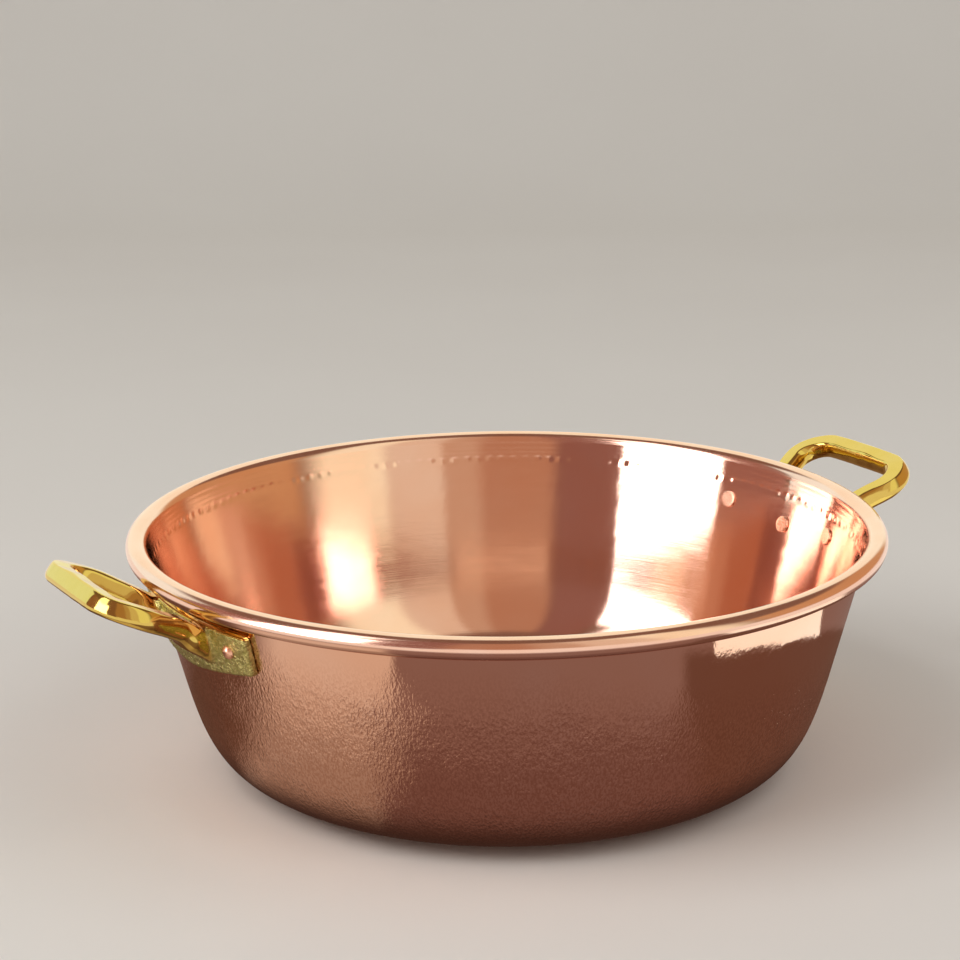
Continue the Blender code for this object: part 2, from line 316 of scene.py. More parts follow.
def inner_relief(turn, along, radius, height):
    """How far the inner face stands back, with its dents and grooves near the top."""
    below = PAN_HEIGHT - height
    on_wall = smooth_step(BASE_RADIUS, BASE_RADIUS + MARKS_FADE, radius)
    under_band = smooth_step(DENT_BELOW_RIM, DENT_BELOW_RIM + MARKS_FADE, below)
    shallower = 1 - SHALLOWER_SHARE * smooth_step(*SHALLOWER_BELOW_RIM, below)
    relief = INNER_MARK_DEPTH * hammer_marks(turn, along, radius, 23) * under_band * shallower * on_wall
    relief += RIPPLE_DEPTH * ripple(turn, along, RIPPLE_ROUND, RIPPLE_UP, 7) * on_wall
    count = round(math.tau * wall_radius(PAN_HEIGHT - DENT_BELOW_RIM) / DENT_PITCH)
    place = turn / math.tau * count
    which = np.floor(place)
    across = (place - which - 0.5 + DENT_SCATTER_SHARE * (scatter(which, 0, 31) - 0.5)) * DENT_PITCH
    up = below - DENT_BELOW_RIM - DENT_SCATTER_UP * (scatter(which, 1, 31) - 0.5)
    dent = np.clip(1 - (across**2 + up**2) / DENT_RADIUS**2, 0, 1)
    relief += DENT_DEPTH * dent * (0.7 + 0.6 * scatter(which, 2, 31)) * (below < 2 * DENT_BELOW_RIM)
    relief += DENT_GROOVE_DEPTH * np.exp(-(((below - DENT_BELOW_RIM) / DENT_GROOVE_HALF_WIDTH) ** 2))
    for k, groove in enumerate(GROOVES_BELOW_RIM):
        wander = GROOVE_WANDER * ripple(turn, along * 0, GROOVE_WANDER_PITCH, 1, 40 + k)
        depth = 0.6 + 0.4 * ripple(turn, along * 0, GROOVE_FADE_PITCH, 1, 50 + k)
        relief += GROOVE_DEPTH * depth * np.exp(-(((below - groove - wander) / GROOVE_HALF_WIDTH) ** 2))
    return relief


def pan_mesh(materials):
    """The pan's sheet, turned about Z, with its marks and one material for each zone."""
    runs = pan_outline()
    outline = np.concatenate([points for points, zone in runs])
    zones = np.concatenate([np.full(len(points), zone) for points, zone in runs])
    along = np.concatenate([[0], np.cumsum(np.hypot(*np.diff(outline, axis=0).T))])
    direction = np.gradient(outline, axis=0)
    direction /= np.hypot(*direction.T)[:, None]
    normals = np.stack([direction[:, 1], -direction[:, 0]], 1)
    inside = slice(1, -1)
    radius, height = outline[inside, 0][:, None], outline[inside, 1][:, None]
    turn = math.tau * np.arange(TURN_STEPS)[None] / TURN_STEPS + 0 * radius
    arc = along[inside][:, None] + 0 * turn
    radii, heights = radius + 0 * turn, height + 0 * turn
    zone = zones[inside][:, None]
    relief = np.where(zone == 0, outer_relief(turn, arc, radii, heights), 0)
    relief = np.where(zone == 2, inner_relief(turn, arc, radii, heights), relief)
    out = radii - relief * normals[inside, 0][:, None]
    up = heights - relief * normals[inside, 1][:, None]
    points = np.stack([out * np.cos(turn), out * np.sin(turn), up], 2).reshape(-1, 3)
    ends = [[0, 0, outline[0, 1]], [0, 0, outline[-1, 1]]]
    points = np.concatenate([points, ends])
    rings = len(outline) - 2
    first = np.arange(rings * TURN_STEPS).reshape(rings, TURN_STEPS)
    after = np.roll(first, -1, axis=1)
    quads = np.stack([first[:-1], after[:-1], after[1:], first[1:]], 2).reshape(-1, 4)
    low, high = len(points) - 2, len(points) - 1
    fans = [(low, after[0, i], first[0, i]) for i in range(TURN_STEPS)]
    fans += [(high, first[-1, i], after[-1, i]) for i in range(TURN_STEPS)]
    mesh = mesh_from("copper_pan", points, quads.tolist() + fans)
    set_values(mesh, "along", np.concatenate([np.repeat(along[inside], TURN_STEPS), [along[0], along[-1]]]))
    face_zones = np.repeat(np.minimum(zones[1:-2], zones[2:-1]), TURN_STEPS)
    face_zones = np.where(np.repeat(zones[1:-2] == 1, TURN_STEPS), 1, face_zones)
    face_zones = np.concatenate([face_zones, np.full(TURN_STEPS, 0), np.full(TURN_STEPS, 2)])
    for material in materials:
        mesh.materials.append(material)
    mesh.polygons.foreach_set("material_index", face_zones.astype(np.int32))
    return mesh


# Cast handles

def lofted(rings):
    """Points and faces that join closed rings in order, with a fan at each end."""
    points = np.concatenate(rings)
    count = len(rings[0])
    faces = []
    for r in range(len(rings) - 1):
        for i in range(count):
            j = (i + 1) % count
            faces.append((r * count + i, r * count + j, (r + 1) * count + j, (r + 1) * count + i))
    last = len(points) - count
    points = np.concatenate([points, [rings[0].mean(0), rings[-1].mean(0)]])
    for i in range(count):
        j = (i + 1) % count
        faces.append((j, i, len(points) - 2))
        faces.append((last + i, last + j, len(points) - 1))
    return points, faces


def plate_ring(azimuth, half_angle, shrink):
    """One upright section of the plate, as points round it."""
    spread = abs(azimuth) / half_angle
    point = PLATE_POINT_SHARE
    rise = (math.hypot(spread, point) - point) / (math.hypot(1, point) - point)
    height = PLATE_MIDDLE_HEIGHT + (PLATE_END_HEIGHT - PLATE_MIDDLE_HEIGHT) * rise
    low = PLATE_TOP - height + shrink
    high = PLATE_TOP - shrink
    outer = FIT_GAP + PLATE_THICKNESS - min(shrink, PLATE_CHAMFER)
    section = [
        (low, FIT_GAP),
        (low, outer - PLATE_CHAMFER),
        (low + PLATE_CHAMFER, outer),
        (high - PLATE_CHAMFER, outer),
        (high, outer - PLATE_CHAMFER),
        (high, FIT_GAP),
    ]
    ring = []
    for z, offset in section:
        radius = wall_radius(z) + offset / math.cos(WALL_LEAN)
        ring.append((radius * math.cos(azimuth), radius * math.sin(azimuth), z))
    return np.array(ring)


def plate_shape():
    """The plate of the handle on +X, with its corners rounded in five steps."""
    wall = wall_radius(PLATE_TOP)
    half_angle = PLATE_WIDTH / 2 / wall
    rounds = [math.pi / 2 * k / 5 for k in range(6)]
    sections = [
        (-half_angle + PLATE_CORNER / wall * (1 - math.cos(a)), PLATE_CORNER * (1 - math.sin(a)))
        for a in rounds
    ]
    inside = half_angle - PLATE_CORNER / wall
    middle = [(azimuth, 0) for azimuth in np.linspace(-inside, inside, 90)[1:-1]]
    sections += middle + [(-azimuth, shrink) for azimuth, shrink in reversed(sections)]
    return lofted([plate_ring(azimuth, half_angle, shrink) for azimuth, shrink in sections])


def loop_path():
    """The loop's middle line in its own surface, as (across, along) points from leg to leg."""
    grip = LOOP_GRIP_SPREAD / 2
    foot = Vector((-LOOP_ROOT_SPREAD / 2, 0))
    corner = Vector((-grip, LOOP_LENGTH))
    to_foot = (foot - corner).normalized()
    to_middle = Vector((1, 0))
    half_turn = to_foot.angle(to_middle) / 2
    middle = corner + (to_foot + to_middle).normalized() * LOOP_CORNER_RADIUS / math.sin(half_turn)
    start = corner + to_foot * LOOP_CORNER_RADIUS / math.tan(half_turn) - middle
    sweep = math.pi - 2 * half_turn
    half = [foot.lerp(middle + start, i / 40) for i in range(40)]
    half += [middle + Matrix.Rotation(-sweep * i / 40, 2) @ start for i in range(41)]
    bar = half[-1].x
    half += [Vector((bar * (1 - i / 40), LOOP_LENGTH)) for i in range(1, 40)]
    path = half + [Vector((0, LOOP_LENGTH))] + [Vector((-p.x, p.y)) for p in reversed(half)]
    for p in path:
        p.y += LOOP_BOW * (1 - (p.x / grip) ** 2) * (p.y / LOOP_LENGTH) ** 2
    return path


def loop_point(across, along, lift):
    """A point of the loop's curved surface on +X, lifted square to that surface."""
    bend = (LOOP_GRIP_RISE - LOOP_ROOT_RISE) / LOOP_LENGTH
    rise = LOOP_ROOT_RISE + bend * along
    out = LOOP_ROOT_OUT + (math.sin(rise) - math.sin(LOOP_ROOT_RISE)) / bend
    up = LOOP_ROOT_UP - (math.cos(rise) - math.cos(LOOP_ROOT_RISE)) / bend
    return (out - lift * math.sin(rise), across, up + lift * math.cos(rise))


def loop_section():
    """The loop's rounded section as (outward, lift) points, before its top is filed."""
    side = [
        (width * GRIP_WIDTH, depth * GRIP_THICKNESS)
        for width, depth in zip(SECTION_WIDTH_SHARES, SECTION_DEPTH_SHARES)
    ]
    ring = np.array(side + [(-width, lift) for width, lift in reversed(side)])
    for _ in range(3):
        after = np.roll(ring, -1, axis=0)
        ring = np.stack([0.75 * ring + 0.25 * after, 0.25 * ring + 0.75 * after], 1).reshape(-1, 2)
    return ring.tolist()


def loop_shape():
    """The loop of the handle on +X, filed flat on top, with legs that widen into the plate."""
    path = loop_path()
    section = loop_section()
    rings = []
    gone = 0
    for i, middle in enumerate(path):
        gone += (middle - path[max(i - 1, 0)]).length
        along = (path[min(i + 1, len(path) - 1)] - path[max(i - 1, 0)]).normalized()
        outward = Vector((-along.y, along.x))
        waver = 0.6 * math.sin(gone / FILED_WAVER_LENGTHS[0]) + 0.4 * math.sin(gone / FILED_WAVER_LENGTHS[1] + 2)
        level = FILED_LEVEL_SHARE * GRIP_THICKNESS + FILED_UNEVENNESS * waver
        tilt = FILED_TILT * math.sin(gone / FILED_TILT_LENGTH + 2)
        flare = 1 + FILLET_FLARE_SHARE * float(1 - smooth_step(0, FILLET_START, middle.y)) ** 2
        ring = []
        for width, lift in section:
            spot = middle + width * flare * outward
            filed = min(lift, level + tilt * width)
            ring.append(loop_point(spot.x, spot.y, filed if filed > 0 else filed * flare))
        rings.append(np.array(ring))
    for end, beyond, place in ((0, 1, 0), (-1, -2, len(rings) + 1)):
        step = rings[beyond] - rings[end]
        step /= np.linalg.norm(step, axis=1)[:, None]
        seated = rings[end]
        for _ in range(12):
            gap = np.hypot(seated[:, 0], seated[:, 1]) - np.array([wall_radius(z) for z in seated[:, 2]])
            seated = seated - step * (gap - FIT_GAP - PLATE_THICKNESS / 2)[:, None]
        rings.insert(place, seated)
    return lofted(rings)


def smoothed(points, edges, weights, passes):
    """Points moved towards the middle of their neighbours, as far as their weights say."""
    count = np.bincount(edges.ravel(), minlength=len(points))[:, None]
    for _ in range(passes):
        total = np.zeros_like(points)
        for k in (0, 1, 2):
            total[:, k] += np.bincount(edges[:, 0], points[edges[:, 1], k], len(points))
            total[:, k] += np.bincount(edges[:, 1], points[edges[:, 0], k], len(points))
        points = points + weights[:, None] * (total / count - points)
    return points


def cast_shape():
    """The casting on +X as one closed skin: its points, faces, edges and a polish value for each point."""
    shapes = [plate_shape(), loop_shape()]
    offset = len(shapes[0][0])
    points = np.concatenate([shapes[0][0], shapes[1][0]])
    faces = shapes[0][1] + [tuple(i + offset for i in face) for face in shapes[1][1]]
    rough = bpy.data.objects.new("casting", mesh_from("casting", points, faces))
    bpy.context.scene.collection.objects.link(rough)
    remesh = rough.modifiers.new("skin", "REMESH")
    remesh.mode = "VOXEL"
    remesh.voxel_size = CAST_GRAIN
    skin = rough.evaluated_get(bpy.context.evaluated_depsgraph_get()).to_mesh()
    points = np.empty(len(skin.vertices) * 3)
    skin.vertices.foreach_get("co", points)
    points = points.reshape(-1, 3)
    edges = np.empty(len(skin.edges) * 2, np.int64)
    skin.edges.foreach_get("vertices", edges)
    edges = edges.reshape(-1, 2)
    faces = [tuple(p.vertices) for p in skin.polygons]
    rough.evaluated_get(bpy.context.evaluated_depsgraph_get()).to_mesh_clear()
    bpy.data.objects.remove(rough)
    off_wall = np.hypot(points[:, 0], points[:, 1]) - np.array([wall_radius(z) for z in points[:, 2]])
    off_wall *= math.cos(WALL_LEAN)
    off_plate = off_wall - FIT_GAP - PLATE_THICKNESS
    near_plate = np.exp(-((off_plate / FILLET_REACH) ** 2)) * (off_plate > -0.0005)
    leg_zone = (points[:, 2] > PLATE_TOP - FILLET_BELOW_TOP) & (np.abs(points[:, 1]) < FILLET_ACROSS[1])
    leg_zone &= np.abs(points[:, 1]) > FILLET_ACROSS[0]
    points = smoothed(points, edges, np.full(len(points), CAST_SMOOTHING), CAST_PASSES)
    points = smoothed(points, edges, FILLET_SMOOTHING * near_plate * leg_zone, FILLET_PASSES)
    polish = smooth_step(*POLISH_OFF_PLATE, off_plate)
    polish = np.maximum(polish, smooth_step(*POLISH_OVER_TOP, points[:, 2] - PLATE_TOP))
    return points, faces, edges, polish


def lattice_noise(points, pitch, seed):
    """Smooth noise, from -1 to 1, through space."""
    scaled = points / pitch
    cell = np.floor(scaled)
    part = smooth_step(0, 1, scaled - cell)
    total = 0
    for x in (0, 1):
        for y in (0, 1):
            for z in (0, 1):
                corner = scatter(cell[:, 0] + x + 57 * (cell[:, 2] + z), cell[:, 1] + y, seed)
                weight = np.abs(1 - x - part[:, 0]) * np.abs(1 - y - part[:, 1])
                weight = weight * np.abs(1 - z - part[:, 2])
                total = total + corner * weight
    return 2 * total - 1


def vertex_normals(mesh):
    """The mesh's point normals as an array."""
    normals = np.empty(len(mesh.vertices) * 3)
    mesh.vertices.foreach_get("normal", normals)
    return normals.reshape(-1, 3)


def brass_handle(side, direction, cast, material, seed):
    """One cast handle, with its own unevenness, turned to its side of the pan."""
    points, faces, edges, polish = cast
    mesh = mesh_from(f"brass_handle_{side}", points, faces)
    normals = vertex_normals(mesh)
    fine, coarse = PLATE_GRAIN_PITCHES
    long, short = LOOP_WAVE_PITCHES
    grain = lattice_noise(points, fine, seed) + 0.6 * lattice_noise(points, coarse, seed + 1)
    waves = lattice_noise(points, long, seed + 2) + 0.4 * lattice_noise(points, short, seed + 3)
    lift = PLATE_ROUGHNESS * (1 - polish) * grain + LOOP_UNEVENNESS * polish * waves
    points = points + normals * lift[:, None]
    spin = np.array(Matrix.Rotation(direction, 3, "Z"))
    mesh.vertices.foreach_set("co", (points @ spin.T).ravel())
    mesh.update()
    set_values(mesh, "polish", polish)
    return add_piece(f"brass_handle_{side}", mesh, [material], "brass", f"handle_{side}")


# Rivets

def rivet_outline():
    """The rivet along its own axis as (radius, lift) points: head inside the pan, tail on the plate."""
    head_seat = -(WALL + HEAD_SEAT_GAP)
    head_top = head_seat - HEAD_THICKNESS
    tail_seat = FIT_GAP + PLATE_THICKNESS
    edge = [math.pi / 2 * k / 6 for k in range(7)]
    outline = [(share * (HEAD_RADIUS - HEAD_EDGE), head_top) for share in (0.25, 0.5, 0.75)]
    outline += [
        (HEAD_RADIUS - HEAD_EDGE + HEAD_EDGE * math.sin(a), head_top + HEAD_EDGE * (1 - math.cos(a)))
        for a in edge
    ]
    outline += [(HEAD_RADIUS, head_seat), (SHANK_RADIUS, head_seat), (SHANK_RADIUS, tail_seat)]
    rise = [math.pi / 2 * k / 12 for k in range(12)]
    outline += [(TAIL_RADIUS, tail_seat)]
    outline += [(TAIL_RADIUS * math.cos(a) ** 0.8, tail_seat + TAIL_HEIGHT * math.sin(a)) for a in rise[1:]]
    return outline, head_top, tail_seat + TAIL_HEIGHT


def rivet(side, place, matrix, material, seed):
    """One copper rivet with a flat head and a tail peened into a slightly uneven dome."""
    outline, head_top, tail_top = rivet_outline()
    turns = math.tau * np.arange(RIVET_STEPS) / RIVET_STEPS
    rings = [np.stack([r * np.cos(turns), r * np.sin(turns), z + 0 * turns], 1) for r, z in outline]
    points, faces = lofted(rings)
    points[-2] = (0, 0, head_top)
    points[-1] = (0, 0, tail_top)
    on_tail = points[:, 2] > FIT_GAP + PLATE_THICKNESS
    dents = lattice_noise(points + seed, TAIL_UNEVEN_PITCH, seed)
    points[:, 2] += TAIL_UNEVENNESS * dents * on_tail
    points[:, :2] *= 1 + TAIL_UNEVEN_SHARE * (dents * on_tail)[:, None]
    mesh = mesh_from(f"copper_rivet_{side}_{place}", points, [face[::-1] for face in faces])
    mesh.transform(matrix)
    return add_piece(mesh.name, mesh, [material], "rivet_copper", f"rivet_{side}_{place}")


def rivet_matrices(direction):
    """Each rivet's place name and its frame on the wall, with +Z square out of the wall."""
    turn = RIVET_SPACING / wall_radius(RIVET_HEIGHT)
    found = []
    for place, azimuth, height in (
        ("front", -turn, RIVET_HEIGHT),
        ("middle", 0, MIDDLE_RIVET_HEIGHT),
        ("back", turn, RIVET_HEIGHT),
    ):
        around = Matrix.Rotation(direction + azimuth, 4, "Z")
        out = Matrix.Translation((wall_radius(height), 0, height))
        tilt = Matrix.Rotation(math.pi / 2 + WALL_LEAN, 4, "Y")
        found.append((place, around @ out @ tilt))
    return found


# Materials

class Nodes:
    """Adds nodes to a material and links them in short lines."""

    def __init__(self, name):
        self.material = bpy.data.materials.new(name)
        self.material.use_nodes = True
        self.tree = self.material.node_tree
        self.shader = self.tree.nodes["Principled BSDF"]

    def add(self, kind, values=(), **settings):
        node = self.tree.nodes.new("ShaderNode" + kind)
        for key, value in settings.items():
            setattr(node, key, value)
        for key, value in dict(values).items():
            if isinstance(value, bpy.types.NodeSocket):
                self.tree.links.new(value, node.inputs[key])
            else:
                node.inputs[key].default_value = value
        return node

    def shade(self, **values):
        for key, value in values.items():
            socket = self.shader.inputs[key.replace("_", " ")]
            if isinstance(value, bpy.types.NodeSocket):
                self.tree.links.new(value, socket)
            else:
                socket.default_value = value

    def noise(self, vector, scale, detail=2.0, roughness=0.5):
        values = {"Vector": vector, "Scale": scale, "Detail": detail, "Roughness": roughness}
        return self.add("TexNoise", values).outputs["Fac"]

    def stretch(self, vector, scale):
        return self.add("Mapping", {"Vector": vector, "Scale": scale}).outputs["Vector"]

    def span(self, value, low, high, new_low, new_high):
        values = {"Value": value, "From Min": low, "From Max": high, "To Min": new_low, "To Max": new_high}
        return self.add("MapRange", values).outputs["Result"]

    def blend(self, factor, first, second):
        node = self.add("Mix", data_type="RGBA")
        for socket, value in ((node.inputs[0], factor), (node.inputs[6], first), (node.inputs[7], second)):
            if isinstance(value, bpy.types.NodeSocket):
                self.tree.links.new(value, socket)
            else:
                socket.default_value = value
        return node.outputs[2]

    def sum(self, first, second, operation="ADD"):
        return self.add("Math", {0: first, 1: second}, operation=operation).outputs[0]

    def bump(self, height, distance, strength=1.0, normal=None):
        values = {"Height": height, "Distance": distance, "Strength": strength}
        if normal is not None:
            values["Normal"] = normal
        return self.add("Bump", values).outputs["Normal"]

    def streak_place(self):
        """Object position whose height is the distance along the outline, for circular brush lines."""
        place = self.add("TexCoord").outputs["Object"]
        split = self.add("SeparateXYZ", {0: place})
        along = self.add("Attribute", attribute_name="along").outputs["Fac"]
        return self.add("CombineXYZ", {0: split.outputs[0], 1: split.outputs[1], 2: along}).outputs[0]


COPPER_PINK = (0.955, 0.645, 0.54, 1)
COPPER_ORANGE = (0.945, 0.595, 0.47, 1)
# Browner copper painted into the pebbles' hollows on the outer face, so that their crests show as painted
# glints.
COPPER_BETWEEN_PAINTED_GLINTS = (0.80, 0.48, 0.37, 1)
SMOOTH_SIDE = math.radians(-52)


def copper_inside():
    """Copper brushed in fine rings, which stretch every reflection up the wall."""
    n = Nodes("copper_inside")
    place = n.streak_place()
    streaks = n.noise(n.stretch(place, (12, 12, 1300)), 1.0, 3.0, 0.6)
    fine = n.noise(n.stretch(place, (30, 30, 4800)), 1.0, 2.0)
    dapple = n.noise(place, 520.0, 2.0)
    clouds = n.noise(place, 18.0, 3.0)
    n.shade(Base_Color=n.blend(n.span(clouds, 0.35, 0.65, 0, 1), COPPER_PINK, COPPER_ORANGE))
    n.shade(Metallic=1.0, Anisotropic=0.95, Anisotropic_Rotation=0.25)
    n.shade(Roughness=n.span(n.sum(streaks, clouds), 0.7, 1.3, 0.08, 0.11))
    tangent = n.add("Tangent", direction_type="RADIAL", axis="Z").outputs[0]
    normal = n.bump(dapple, 0.000006)
    normal = n.bump(streaks, 0.000012, 1.0, normal)
    n.shade(Normal=n.bump(fine, 0.000012, 1.0, normal), Tangent=tangent)
    return n.material


def copper_rim():
    """Polished copper of the rolled edge, with faint polishing lines round it."""
    n = Nodes("copper_rim")
    place = n.streak_place()
    streaks = n.noise(n.stretch(place, (20, 20, 1400)), 1.0, 2.0)
    clouds = n.noise(place, 25.0, 2.0)
    n.shade(Base_Color=n.blend(n.span(clouds, 0.35, 0.65, 0, 1), COPPER_PINK, COPPER_ORANGE))
    n.shade(Metallic=1.0, Roughness=n.span(streaks, 0.3, 0.7, 0.13, 0.19))
    n.shade(Normal=n.bump(streaks, 0.000004))
    return n.material


def copper_outside():
    """Bright copper pebbled by fine planishing, which fades out under the rolled edge, with painted glints:
    browner copper in the pebbles' hollows makes their crests stand out as glints.

    The smooth part reaches further down on one side, as in the photograph.
    """
    n = Nodes("copper_outside")
    place = n.add("TexCoord").outputs["Object"]
    split = n.add("SeparateXYZ", {0: place})
    towards_x = n.sum(split.outputs[0], math.cos(SMOOTH_SIDE), "MULTIPLY")
    towards_y = n.sum(split.outputs[1], math.sin(SMOOTH_SIDE), "MULTIPLY")
    side = n.sum(towards_x, towards_y)
    raised = n.sum(split.outputs[2], n.span(side, 0.09, 0.17, 0, 0.028))
    pebbled = n.span(raised, PAN_HEIGHT - 0.018, PAN_HEIGHT - 0.050, 0.04, 1.0)
    upright = n.stretch(place, (1, 1, 0.5))
    grain = n.noise(upright, 1000.0, 2.0, 0.5)
    pits = n.add("TexVoronoi", {"Vector": upright, "Scale": 520.0}).outputs["Distance"]
    clouds = n.noise(place, 14.0, 3.0)
    patches = n.span(n.noise(place, 60.0, 2.0), 0.35, 0.65, 0.6, 1.25)
    bright = n.blend(n.span(clouds, 0.35, 0.65, 0, 1), COPPER_PINK, COPPER_ORANGE)
    # Painted glints: browner copper in the grain's hollows, so that the pebbles' crests stand out as glints
    # under any light.
    painted_glint_hollows = n.sum(n.span(grain, 0.58, 0.42, 0, 1), pebbled, "MULTIPLY")
    n.shade(Base_Color=n.blend(painted_glint_hollows, bright, COPPER_BETWEEN_PAINTED_GLINTS))
    n.shade(Metallic=1.0, Roughness=n.span(pebbled, 0.03, 1.0, 0.05, 0.14))
    lift = n.sum(grain, n.sum(pits, 0.4, "MULTIPLY"))
    lift = n.sum(lift, n.sum(pebbled, patches, "MULTIPLY"), "MULTIPLY")
    n.shade(Normal=n.bump(lift, 0.00042))
    return n.material


def rivet_copper():
    """Bare copper with a soft satin grain."""
    n = Nodes("rivet_copper_finish")
    place = n.add("TexCoord").outputs["Object"]
    grain = n.noise(place, 1400.0, 2.0)
    n.shade(Base_Color=n.blend(n.noise(place, 300.0), (0.90, 0.48, 0.34, 1), (0.93, 0.57, 0.43, 1)))
    n.shade(Metallic=1.0, Roughness=n.span(grain, 0.3, 0.7, 0.2, 0.32))
    n.shade(Normal=n.bump(grain, 0.00002))
    return n.material


def cast_brass():
    """Yellow brass: polished on the loop, and rough, scratched and greener on the plate."""
    n = Nodes("cast_brass")
    place = n.add("TexCoord").outputs["Object"]
    polish = n.add("Attribute", attribute_name="polish").outputs["Fac"]
    clouds = n.noise(place, 160.0, 3.0)
    mottle = n.span(n.noise(place, 420.0, 4.0, 0.65), 0.35, 0.65, 0, 1)
    rough_colour = n.blend(mottle, (0.34, 0.30, 0.09, 1), (0.74, 0.66, 0.28, 1))
    bright_colour = n.blend(clouds, (0.71, 0.51, 0.12, 1), (0.77, 0.57, 0.16, 1))
    n.shade(Base_Color=n.blend(polish, rough_colour, bright_colour), Metallic=1.0)
    grain = n.noise(place, 1300.0, 3.0, 0.6)
    scratches = n.noise(n.stretch(place, (900, 2600, 500)), 1.0, 2.0)
    nicks = n.noise(n.stretch(place, (900, 420, 2400)), 1.0, 2.0)
    dull = n.span(mottle, 0, 1, 0.36, 0.22)
    shine = n.span(clouds, 0.3, 0.7, 0.07, 0.12)
    mixed = n.add("Mix", data_type="FLOAT")
    for socket, value in ((mixed.inputs[0], polish), (mixed.inputs[2], dull), (mixed.inputs[3], shine)):
        n.tree.links.new(value, socket)
    n.shade(Roughness=mixed.outputs[0])
    coarse = n.sum(grain, n.sum(scratches, nicks))
    coarse = n.sum(coarse, n.sum(1.0, polish, "SUBTRACT"), "MULTIPLY")
    n.shade(Normal=n.bump(coarse, 0.0003))
    return n.material


def wire_steel():
    """Drawn steel wire with fine lines along it."""
    n = Nodes("wire_steel_finish")
    place = n.add("TexCoord").outputs["Object"]
    lines = n.noise(n.stretch(place, (30, 30, 2500)), 1.0)
    n.shade(Base_Color=n.blend(lines, (0.42, 0.41, 0.39, 1), (0.55, 0.53, 0.50, 1)), Metallic=1.0)
    n.shade(Roughness=n.span(lines, 0.3, 0.7, 0.35, 0.5), Normal=n.bump(lines, 0.00001))
    return n.material


# Studio. Azimuths here are in the photograph's frame, whose camera looks along +Y.

CAMERA_TURN = math.radians(30.4)
CAMERA_DISTANCE = 1.2449
CAMERA_HEIGHT = 0.4852
CAMERA_PITCH = 0.2618
CAMERA_YAW = -0.0109
CAMERA_ROLL = -0.011
FOCAL_PIXELS = 2447.0
PHOTO_WIDTH = 960


def add_camera():
    """The camera that was fitted to the pan's outline in the photograph."""
    forward = Vector((
        math.sin(CAMERA_YAW) * math.cos(CAMERA_PITCH),
        math.cos(CAMERA_YAW) * math.cos(CAMERA_PITCH),
        -math.sin(CAMERA_PITCH),
    ))
    level = Vector((math.cos(CAMERA_YAW), -math.sin(CAMERA_YAW), 0))
    right = Matrix.Rotation(CAMERA_ROLL, 3, -forward) @ level
    axes = Matrix((right, right.cross(forward), -forward)).transposed().to_4x4()
    camera = bpy.data.objects.new("camera", bpy.data.cameras.new("camera"))
    bpy.context.scene.collection.objects.link(camera)
    place = Matrix.Translation((0, -CAMERA_DISTANCE, CAMERA_HEIGHT))
    camera.matrix_world = Matrix.Rotation(-CAMERA_TURN, 4, "Z") @ place @ axes
    camera.data.sensor_width = 36
    camera.data.lens = camera.data.sensor_width * FOCAL_PIXELS / PHOTO_WIDTH
    bpy.context.scene.camera = camera


def stage_piece(name, points, faces, material, seen_by_camera):
    """A part of the studio. What the camera doesn't see only shows in the metal."""
    mesh = bpy.data.meshes.new(name)
    mesh.from_pydata(points, [], faces)
    mesh.shade_smooth()
    mesh.materials.append(material)
    piece = bpy.data.objects.new(name, mesh)
    bpy.context.scene.collection.objects.link(piece)
    piece.rotation_euler.z = -CAMERA_TURN
    piece.visible_glossy = not seen_by_camera
    for rays in ("camera", "diffuse", "transmission", "volume_scatter", "shadow"):
        setattr(piece, "visible_" + rays, seen_by_camera)
    return piece


def pale_surface():
    """The plain pale floor and backdrop."""
    n = Nodes("pale_floor")
    place = n.add("TexCoord").outputs["Object"]
    soft = n.noise(place, 3.0, 2.0)
    n.shade(Base_Color=n.blend(soft, (0.74, 0.71, 0.67, 1), (0.78, 0.755, 0.715, 1)), Roughness=0.9)
    return n.material


def add_sweep():
    """A floor that curves up into a backdrop behind the pan."""
    half, front, back, rise, bend = 4.0, -3.0, 1.7, 3.0, 0.8
    side = [(front, 0), (back, 0)]
    curve = np.linspace(0, math.pi / 2, 24)[1:]
    side += [(back + bend * math.sin(a), bend * (1 - math.cos(a))) for a in curve]
    side.append((back + bend, rise))
    points = [(x, y, z) for y, z in side for x in (-half, half)]
    faces = [(2 * i, 2 * i + 1, 2 * i + 3, 2 * i + 2) for i in range(len(side) - 1)]
    stage_piece("pale_sweep", points, faces, pale_surface(), True)


def glow():
    """The one glowing material of all cards, whose colours lie in their points."""
    n = Nodes("card_glow")
    n.tree.nodes.remove(n.shader)
    colour = n.add("Attribute", attribute_name="glow").outputs["Color"]
    light = n.add("Emission", {"Color": colour, "Strength": 1.0})
    n.tree.links.new(light.outputs[0], n.tree.nodes["Material Output"].inputs["Surface"])
    return n.material


def painted(across, along, ground, panels):
    """Colours over a grid of places: each panel covers what is under it, with soft edges.

    A panel is its two limits across with the softness of both edges, the same along, and its colour.
    """
    colours = np.zeros((*np.broadcast(across, along).shape, 3)) + ground
    for (left, right), (soft_left, soft_right), (low, high), soft, colour in panels:
        cover = smooth_step(left - soft_left, left, across)
        cover = cover * (1 - smooth_step(right, right + soft_right, across))
        cover = cover * smooth_step(low - soft, low, along) * (1 - smooth_step(high, high + soft, along))
        colours += cover[..., None] * (np.array(colour) - colours)
    return colours


def add_card(name, material, x, y, z, colours):
    """A glowing grid that only the metal reflects."""
    rows, across = x.shape
    points = np.stack([x, y, z], 2).reshape(-1, 3)
    first = np.arange(rows * across).reshape(rows, across)
    corners = (first[:-1, :-1], first[1:, :-1], first[1:, 1:], first[:-1, 1:])
    faces = np.stack(corners, 2).reshape(-1, 4)
    card = stage_piece(name, points.tolist(), faces.tolist(), material, False)
    solid = np.concatenate([colours, np.ones((rows, across, 1))], 2)
    attribute = card.data.attributes.new("glow", "FLOAT_COLOR", "POINT")
    attribute.data.foreach_set("color", solid.astype(np.float32).ravel())


